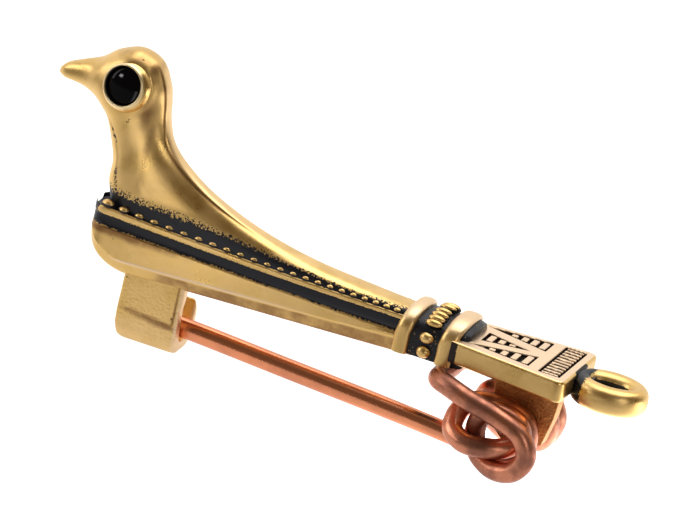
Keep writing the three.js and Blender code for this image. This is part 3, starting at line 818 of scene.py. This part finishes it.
def barsIn(triangle, x, y):
    # round-cornered bars across a triangle, a margin short of its two long sides
    (tipX, tipY), base = triangle["tip"], triangle["base"]
    half, margin = carvedBar["half"], carvedBar["margin"]
    bars = np.zeros(x.shape)
    for barX in triangle["bars"]:
        share = (barX - tipX) / (base[0][0] - tipX)
        low, high = sorted(tipY + (baseY - tipY) * share for _, baseY in base)
        low, high = low + margin, high - margin
        corner = min(carvedBar["corner"], (high - low) / 2)
        inside = insideBox(x, y, barX - half, barX + half, low, high, corner)
        bars = np.maximum(bars, smoothStep(-0.03, 0.08, inside))
    return bars


def carvedDepth(x, y):
    # pockets sink to full depth close to their sides; bars and ribs stand in them almost up to the top
    depth = np.zeros(x.shape)
    for triangle in carvedTriangles:
        pocket = smoothStep(0.0, 0.1, insideTriangle(x, y, [triangle["tip"], *triangle["base"]]))
        depth = np.maximum(depth, pocket * (1 - standing * barsIn(triangle, x, y)))
    b = ribbedBand
    across = y - b["middle"]
    box = (b["from"], b["to"], -b["half"], b["half"])
    pocket = smoothStep(0.0, 0.1, insideBox(x, across, *box, 0.05))
    wave = 0.5 - 0.5 * np.cos(np.pi * (across / b["half"] + 1) * b["ribs"])
    reach = smoothStep(0.1, 0.26, insideBox(x, across, *box, 0.1))
    return np.maximum(depth, pocket * (1 - standing * smoothStep(0.25, 0.6, wave) * reach))


def roundedIn(x, end, radius):
    # how far a quarter circle that ends at this x has turned in
    return radius - np.sqrt(np.maximum(radius**2 - np.maximum(x - end + radius, 0) ** 2, 0))


def plateOutline(wide, high, low):
    # a section across the plate: the top face finely divided, the edges as quarter circles
    edge = plateShape["edge"]
    bend = np.linspace(0, np.pi / 2, 7)
    flat = np.linspace(-1, 1, plateShape["grid"][1]) * (wide - edge)
    top = np.stack([flat, np.full(flat.shape, high)], -1)
    farTop = np.stack([wide - edge + edge * np.sin(bend), high - edge + edge * np.cos(bend)], -1)[1:]
    farLow = np.stack([wide - edge + edge * np.cos(bend), low + edge - edge * np.sin(bend)], -1)
    under = np.linspace(wide - edge, edge - wide, 20)[1:-1]
    bottom = np.stack([under, np.full(under.shape, low)], -1)
    return np.concatenate([top, farTop, farLow, bottom, farLow[::-1] * [-1, 1], farTop[::-1] * [-1, 1]])


def plateMarks(points, onTop, carved):
    # black in the carving, in a ragged blot on the side next to the collar, and round the loop's neck;
    # the top face is painted bright as a highlight
    x, y, z = points.T
    finger = 0.75 * np.exp(-(((z - 7.65) / 0.3) ** 2))
    byCollar = 0.5 + (9.8 + finger - x) * 0.9
    byLoop = 2.0 - np.hypot(y - 0.2, z - 7.6) - (x < plateShape["end"] - 0.3)
    onSide = (z < plateShape["top"] - 0.05) & (x < 11)
    soot = np.where(onTop, 0.5 + (carved - 0.2) * 2.5, np.where(onSide, byCollar, byLoop))
    return {"soot": soot, "paintedHighlight": onTop * 1.0}


def makePlate():
    # sections across the plate at many stations of x; the points of the top face drop by the carved depth
    p = plateShape
    start, end, corner = p["start"], p["end"], p["cornerRound"]
    atCorner = end - corner + corner * np.sin(np.linspace(0, np.pi / 2, 24))[1:]
    stations = np.concatenate([np.linspace(start, end - corner, p["grid"][0]), atCorner])
    widening = (p["halfEnd"] - p["halfStart"]) * (stations - start) / (end - start)
    half = p["halfStart"] + widening - roundedIn(stations, end, corner)
    drop = roundedIn(stations, end, p["endRound"])
    rings = []
    for x, wide, sink in zip(stations, half, drop):
        outline = plateOutline(wide, p["top"] - sink, p["top"] - p["thick"] + sink)
        rings.append(np.column_stack([np.full(len(outline), x), outline]))
    points, faces = closedTube(np.array(rings))
    onTop = points[:, 2] > p["top"] - 0.02
    carved = carvedDepth(points[:, 0], points[:, 1]) * onTop
    points[:, 2] -= p["depth"] * carved
    return (points, faces), plateMarks(points, onTop, carved)


plate, platePaint = makePlate()
addPiece("foot_plate", plate, brassEngraved, marks=platePaint)

# the hanging loop
loopShape = {
    "centre": (20.65, 7.5), "long": 2.12, "wide": 1.5, "out": (0.74, 0.86), "up": 1.0,
    "neck": {
        "from": 17.9, "to": 19.4, "half": 1.45, "waist": 0.25, "height": 7.52, "tall": 0.72, "thin": 0.06,
    },
}


def makeLoop():
    # an oval ring with a squarish section, and a short waisted neck into the plate;
    # black at the neck and inside the hole
    s = loopShape
    centreX, centreZ = s["centre"]
    turn = fullTurn(110)[:, None]
    roll = fullTurn(32)[None, :]
    out, up = signedPower(np.cos(roll), 0.9), signedPower(np.sin(roll), 0.75)
    x = centreX + (s["long"] + s["out"][0] * out) * np.cos(turn)
    y = (s["wide"] + s["out"][1] * out) * np.sin(turn)
    ring = closedTube(np.stack(np.broadcast_arrays(x, y, centreZ + s["up"] * up), -1), loop=True)
    n = s["neck"]
    t = np.linspace(0, 1, 12)[:, None]
    waist = np.sin(np.pi * t)
    around = fullTurn(40)[None, :]
    neckY = (n["half"] - n["waist"] * waist) * signedPower(np.cos(around), 0.5)
    neckZ = n["height"] + (n["tall"] - n["thin"] * waist) * signedPower(np.sin(around), 0.5)
    neck = closedTube(np.stack(np.broadcast_arrays(n["from"] + (n["to"] - n["from"]) * t, neckY, neckZ), -1))
    x, y, z = ring[0].T
    fromMiddle = np.hypot((x - centreX) / s["long"], y / s["wide"])
    inHole = np.where(z < centreZ + 0.55, 0.5 + (0.78 - fromMiddle) * 3.0, 0.0)
    soot = [np.maximum(0.5 + (19.1 - x) * 1.2, inHole), np.full(len(neck[0]), 0.9)]
    return joinShapes([ring, neck]), np.concatenate(soot)


loop, loopSoot = makeLoop()
addPiece("tail_loop", loop, brass, marks={"soot": loopSoot})

# the lug
lugShape = {
    "outline": [
        (12.5, 7.2), (17.5, 7.2), (17.25, 4.5), (16.75, 2.3), (15.7, 1.7), (13.9, 1.7), (12.9, 2.6),
        (12.5, 4.4),
    ],
    "half": 0.62, "bevel": 0.05,
}


def makeLug():
    # the side outline carried across the lug's thickness
    x, z = np.array(lugShape["outline"]).T
    half = np.full(x.shape, lugShape["half"])
    return closedTube(np.array([np.stack([x, -half, z], -1), np.stack([x, half, z], -1)]))


lug = addPiece("spring_lug", makeLug(), brassBrown, sharp=30)
lugEdges = lug.modifiers.new("edges", "BEVEL")
lugEdges.width = lugShape["bevel"] * mm
lugEdges.segments = 3
lugEdges.limit_method = "ANGLE"
lugEdges.angle_limit = math.radians(30)

# the catch
catchShape = {
    # the hook's inside and outside curve, as y and z
    "inside": [
        (-0.3, 6.3), (-0.31, 4.0), (-0.32, 1.9), (-0.1, 1.1), (0.3, 0.82), (0.8, 0.8), (1.25, 0.82),
        (1.72, 1.4), (2.1, 2.25), (2.5, 3.3),
    ],
    "outside": [
        (-1.3, 6.3), (-1.3, 4.0), (-1.3, 1.6), (-1.12, 0.45), (-0.4, 0.0), (0.5, 0.0), (1.35, 0.03),
        (2.3, 0.7), (2.75, 1.9), (2.74, 3.35),
    ],
    # its two ends in x at each height
    "left": [(0.0, -15.1), (0.3, -15.5), (0.8, -15.85), (1.6, -16.08), (2.6, -16.1), (6.5, -16.0)],
    "right": [
        (0.0, -11.45), (0.5, -11.3), (1.4, -11.3), (2.4, -11.35), (3.4, -11.4), (4.4, -11.3), (6.5, -11.3),
    ],
    # the brown painted shade line's height at its left and at its right end
    "line": (2.6, 2.2), "steps": 90, "around": 72,
}


def catchMarks(points):
    # a brown painted shade line crosses the outer face and another runs beside its right edge;
    # the edge itself carries a painted highlight, and so does the foot, a little
    x, y, z = points.T
    left, right = catchShape["line"]
    outer = smoothStep(-0.7, -1.0, y)
    fromLine = z - left - (right - left) * (x + 15.8) / 4.0
    reach = np.where(fromLine > 0, 0.16, 0.34)
    fade = 0.8 + 0.2 * np.cos(2.4 * (x + 14.6))
    line = np.exp(-((fromLine / reach) ** 2)) * outer * fade
    besideEdge = np.exp(-(((x + 11.72) / 0.1) ** 2)) * smoothStep(2.0, 2.5, z) * outer
    bright = np.maximum(0.6 * smoothStep(-11.62, -11.5, x), 0.15 * smoothStep(2.4, 1.6, z) * outer)
    return {"paintedShade": np.maximum(line, besideEdge), "paintedHighlight": bright}


def makeCatch():
    # a strip bent into a hook: each section is a squarish oval between the inside and the outside curve,
    # as long in x as the two limits at its height; the last tenth rounds over at the lip
    c = catchShape
    curves = [[(0, y, z) for y, z in c[key]] for key in ("inside", "outside")]
    inside, outside = (curveThrough(curve, c["steps"]) for curve in curves)
    middle, thick = (inside + outside) / 2, (outside - inside) / 2
    left, right = (np.interp(middle[:, 2], *np.array(c[key]).T) for key in ("left", "right"))
    overLip = np.linspace(-9, 1, c["steps"]).clip(0, 1)
    lip = np.sqrt(np.clip(1 - overLip**2, 0.02, 1))[:, None]
    around = fullTurn(c["around"])[None, :]
    across, along = signedPower(np.sin(around), 0.3), signedPower(np.cos(around), 0.16)
    rings = middle[:, None] + thick[:, None] * (across * lip)[..., None]
    half = ((right - left) / 2)[:, None] * (0.85 + 0.15 * lip)
    rings[..., 0] = ((left + right) / 2)[:, None] + half * along
    return closedTube(rings)


catch = makeCatch()
addPiece("pin_catch", catch, brassMatt, marks=catchMarks(catch[0]))

# the wire
wireShape = {"radius": 0.75, "endRound": 0.3, "endDrop": 0.5, "sides": 28, "coilSteps": 620, "pinSteps": 90}
pinRoute = [
    (-15.2, 1.0, 1.72), (-10.6, 0.62, 1.72), (-3.5, 0.02, 1.56), (4.0, -0.62, 1.4), (9.2, -1.12, 1.26),
    (12.2, -1.42, 1.12),
]
coilRoute = [
    # from the pin, round the near turns
    (12.6, -1.42, 1.08), (13.4, -1.44, 0.88), (14.5, -1.45, 0.8), (15.5, -1.45, 1.4), (15.95, -1.48, 2.7),
    (15.5, -1.5, 3.95), (14.3, -1.5, 4.5), (12.7, -1.5, 4.6), (11.5, -1.85, 4.35), (10.85, -2.55, 3.65),
    (10.95, -3.6, 2.7), (12.1, -4.3, 2.2), (13.7, -4.25, 2.25), (15.0, -3.6, 2.45), (15.85, -3.05, 3.2),
    (15.6, -3.05, 4.2), (14.4, -3.05, 4.7), (13.2, -3.05, 4.5), (12.5, -2.85, 3.5), (12.45, -2.8, 2.4),
    (13.0, -3.05, 1.3), (14.6, -3.85, 0.76), (16.2, -4.45, 1.3), (17.0, -4.7, 2.75), (16.3, -4.75, 4.15),
    # across on the bird's side of the lug
    (14.2, -4.72, 5.0), (12.0, -4.55, 5.45), (10.2, -4.1, 5.8), (9.1, -3.2, 5.75), (8.85, -2.0, 5.62),
    (8.85, 0.0, 5.6), (8.85, 1.6, 5.6), (9.2, 2.8, 5.62), (10.4, 3.3, 5.8), (12.2, 3.25, 5.85),
    # round the far turns and into the lug
    (14.1, 3.2, 5.35), (15.8, 3.15, 4.3), (16.4, 3.15, 3.0), (15.85, 3.2, 1.5), (14.5, 3.15, 0.78),
    (13.1, 2.8, 1.1), (12.0, 2.1, 2.1), (11.3, 1.6, 3.2), (11.55, 1.5, 4.2), (12.8, 1.5, 4.75),
    (14.5, 1.5, 4.8), (15.9, 1.5, 4.2), (16.45, 1.52, 2.9), (16.0, 1.6, 1.75), (14.95, 1.75, 1.6),
    (14.3, 1.5, 2.2), (14.2, 0.85, 2.9), (14.2, 0.0, 3.0), (14.2, -0.7, 3.0),
]


def makeWire(route, steps):
    # a round wire along the route; near each end its section's area falls, by a parabola,
    # by the end drop over the length of the end round
    w = wireShape
    path = evenly(curveThrough(route, steps * 3), steps)
    length = np.linalg.norm(np.diff(path, axis=0), axis=1).sum()
    fromEnd = np.minimum(np.linspace(0, length, steps), np.linspace(length, 0, steps))
    intoEnd = 1 - np.clip(fromEnd / w["endRound"], 0, 1)
    radii = w["radius"] * np.sqrt(1 - w["endDrop"] * intoEnd**2)
    return closedTube(sweepCircle(path, radii, w["sides"]))


coil = makeWire(coilRoute, wireShape["coilSteps"])
addPiece("spring_coil", coil, copperCoil, stands=["spring_wire"])
pin = makeWire(pinRoute, wireShape["pinSteps"])
addPiece("pin", pin, copperPin, body="pin", stands=["pin_wire"])

# the floor
floorShape = {
    "reach": 3.0, "tone": (0.18, 0.165, 0.14), "rough": 0.9,
    "seenGlow": 1.2, "frontGlow": 0.06, "backGlow": 0.95,
    # bands of light: the azimuth they run out at, their half width in degrees and their strength;
    # they start between these distances from the place under the bird's neck, in metres
    "bands": [(-3, 9, 2.6), (98, 14, 2.0)], "bandStart": (0.014, 0.03), "neck": (-0.017, 0, 0),
}


def makeFloorPaper():
    # seen directly the paper is pure white; in reflections it is bright behind the brooch and dim in front,
    # with two bands of light on it that run out from under the bird's neck
    f = floorShape
    paper, nodes, shader = newMaterial("white paper")
    shader.inputs["Base Color"].default_value = (*f["tone"], 1)
    shader.inputs["Roughness"].default_value = f["rough"]
    shader.inputs["Emission Color"].default_value = (1, 1, 1, 1)
    place = nodes.add("ShaderNodeNewGeometry").outputs["Position"]
    fromNeck = nodes.add("ShaderNodeVectorMath", {0: place, 1: f["neck"]}, operation="SUBTRACT").outputs[0]
    axes = nodes.add("ShaderNodeSeparateXYZ", {0: fromNeck}).outputs
    glow = nodes.remap(axes["Y"], -0.035, 0.015, (f["frontGlow"], f["backGlow"]))
    azimuth = nodes.math("ARCTAN2", axes["X"], nodes.math("MULTIPLY", axes["Y"], -1.0))
    distance = nodes.add("ShaderNodeVectorMath", {0: fromNeck}, operation="LENGTH").outputs["Value"]
    started = nodes.remap(distance, *f["bandStart"])
    for middle, width, strength in f["bands"]:
        away = nodes.math("ABSOLUTE", nodes.math("SUBTRACT", azimuth, math.radians(middle)))
        band = nodes.remap(away, math.radians(width), 0.0, (0.0, strength))
        glow = nodes.math("ADD", glow, nodes.math("MULTIPLY", band, started))
    seen = nodes.add("ShaderNodeLightPath").outputs["Is Camera Ray"]
    emission = nodes.math("MAXIMUM", glow, nodes.math("MULTIPLY", seen, f["seenGlow"]))
    nodes.tree.links.new(emission, shader.inputs["Emission Strength"])
    return paper


def addFloor():
    # a square that reaches so many metres each way
    reach = floorShape["reach"]
    corners = [(-reach, -reach, 0), (reach, -reach, 0), (reach, reach, 0), (-reach, reach, 0)]
    mesh = bpy.data.meshes.new("floor")
    mesh.from_pydata(corners, [], [(0, 1, 2, 3)])
    mesh.materials.append(makeFloorPaper())
    floor = bpy.data.objects.new("floor", mesh)
    bpy.context.scene.collection.objects.link(floor)


addFloor()

# the camera
cameraView = {
    "azimuth": 16.7, "elevation": 20.7, "roll": 12.2, "width": 50.0, "distance": 800.0, "sensor": 36,
    "target": (-1.115, 3.388, 9.436),
}


def addCamera():
    # the camera stands off the target along (sin a cos e, -cos a cos e, sin e),
    # then turns about that line
    c = cameraView
    a, e, r = (math.radians(c[key]) for key in ("azimuth", "elevation", "roll"))
    back = Vector((math.sin(a) * math.cos(e), -math.cos(a) * math.cos(e), math.sin(e)))
    right = Vector((math.cos(a), math.sin(a), 0))
    up = back.cross(right)
    turnedRight = right * math.cos(r) + up * math.sin(r)
    turnedUp = up * math.cos(r) - right * math.sin(r)
    data = bpy.data.cameras.new("camera")
    data.sensor_width = c["sensor"]
    data.lens = c["sensor"] * c["distance"] / c["width"]
    data.clip_start, data.clip_end = 0.01, 20
    camera = bpy.data.objects.new("camera", data)
    place = (Vector(c["target"]) + Vector(shift)) * mm + back * c["distance"] * mm
    facing = Matrix((turnedRight, turnedUp, back)).transposed()
    camera.matrix_world = Matrix.Translation(place) @ facing.to_4x4()
    bpy.context.scene.collection.objects.link(camera)
    bpy.context.scene.camera = camera


addCamera()

# each light: where it stands and its two sides in metres, and how bright its face is
lights = {
    "overhead": {"place": (0.02, 0.10, 0.5), "size": (0.5, 0.4), "glow": 1.8},
    "leftBox": {"place": (-0.42, -0.18, 0.20), "size": (0.16, 0.36), "glow": 2.6},
    "rightBox": {"place": (0.34, -0.34, 0.14), "size": (0.08, 0.30), "glow": 3.0},
    "eyeGlint": {"place": (-0.22, -0.216, 0.079), "size": (0.034, 0.024), "glow": 14.0},
}


def addLight(name, light):
    # a rectangle aimed at the brooch; its power is pi times its area times its glow
    data = bpy.data.lights.new(name, "AREA")
    data.shape = "RECTANGLE"
    data.size, data.size_y = light["size"]
    data.energy = light["glow"] * math.pi * data.size * data.size_y
    lamp = bpy.data.objects.new(name, data)
    lamp.location = light["place"]
    lamp.rotation_euler = (Vector((0, 0, 0.01)) - lamp.location).to_track_quat("-Z", "Y").to_euler()
    bpy.context.scene.collection.objects.link(lamp)


for name, light in lights.items():
    addLight(name, light)


# the room round it
roomLight = {"towards": (-0.27, 0.9, 0.34), "front": (0.13, 0.10, 0.065, 1), "back": (0.95, 0.93, 0.9, 1)}


def makeWorld():
    # a soft room: a bright screen behind the brooch, dim and warm on the camera's side
    room = roomLight
    world = bpy.data.worlds.new("room")
    world.use_nodes = True
    nodes = NodeTree(world.node_tree)
    background = world.node_tree.nodes["Background"]
    direction = nodes.add("ShaderNodeTexCoord").outputs["Generated"]
    dot = nodes.add("ShaderNodeVectorMath", {0: direction, 1: room["towards"]}, operation="DOT_PRODUCT")
    share = nodes.remap(dot.outputs["Value"], -0.1, 0.7)
    colour = nodes.mix(share, room["front"], room["back"])
    world.node_tree.links.new(colour, background.inputs["Color"])
    background.inputs["Strength"].default_value = 1.0
    bpy.context.scene.world = world


makeWorld()
bpy.context.scene.view_settings.view_transform = "Standard"
print("stage ready")
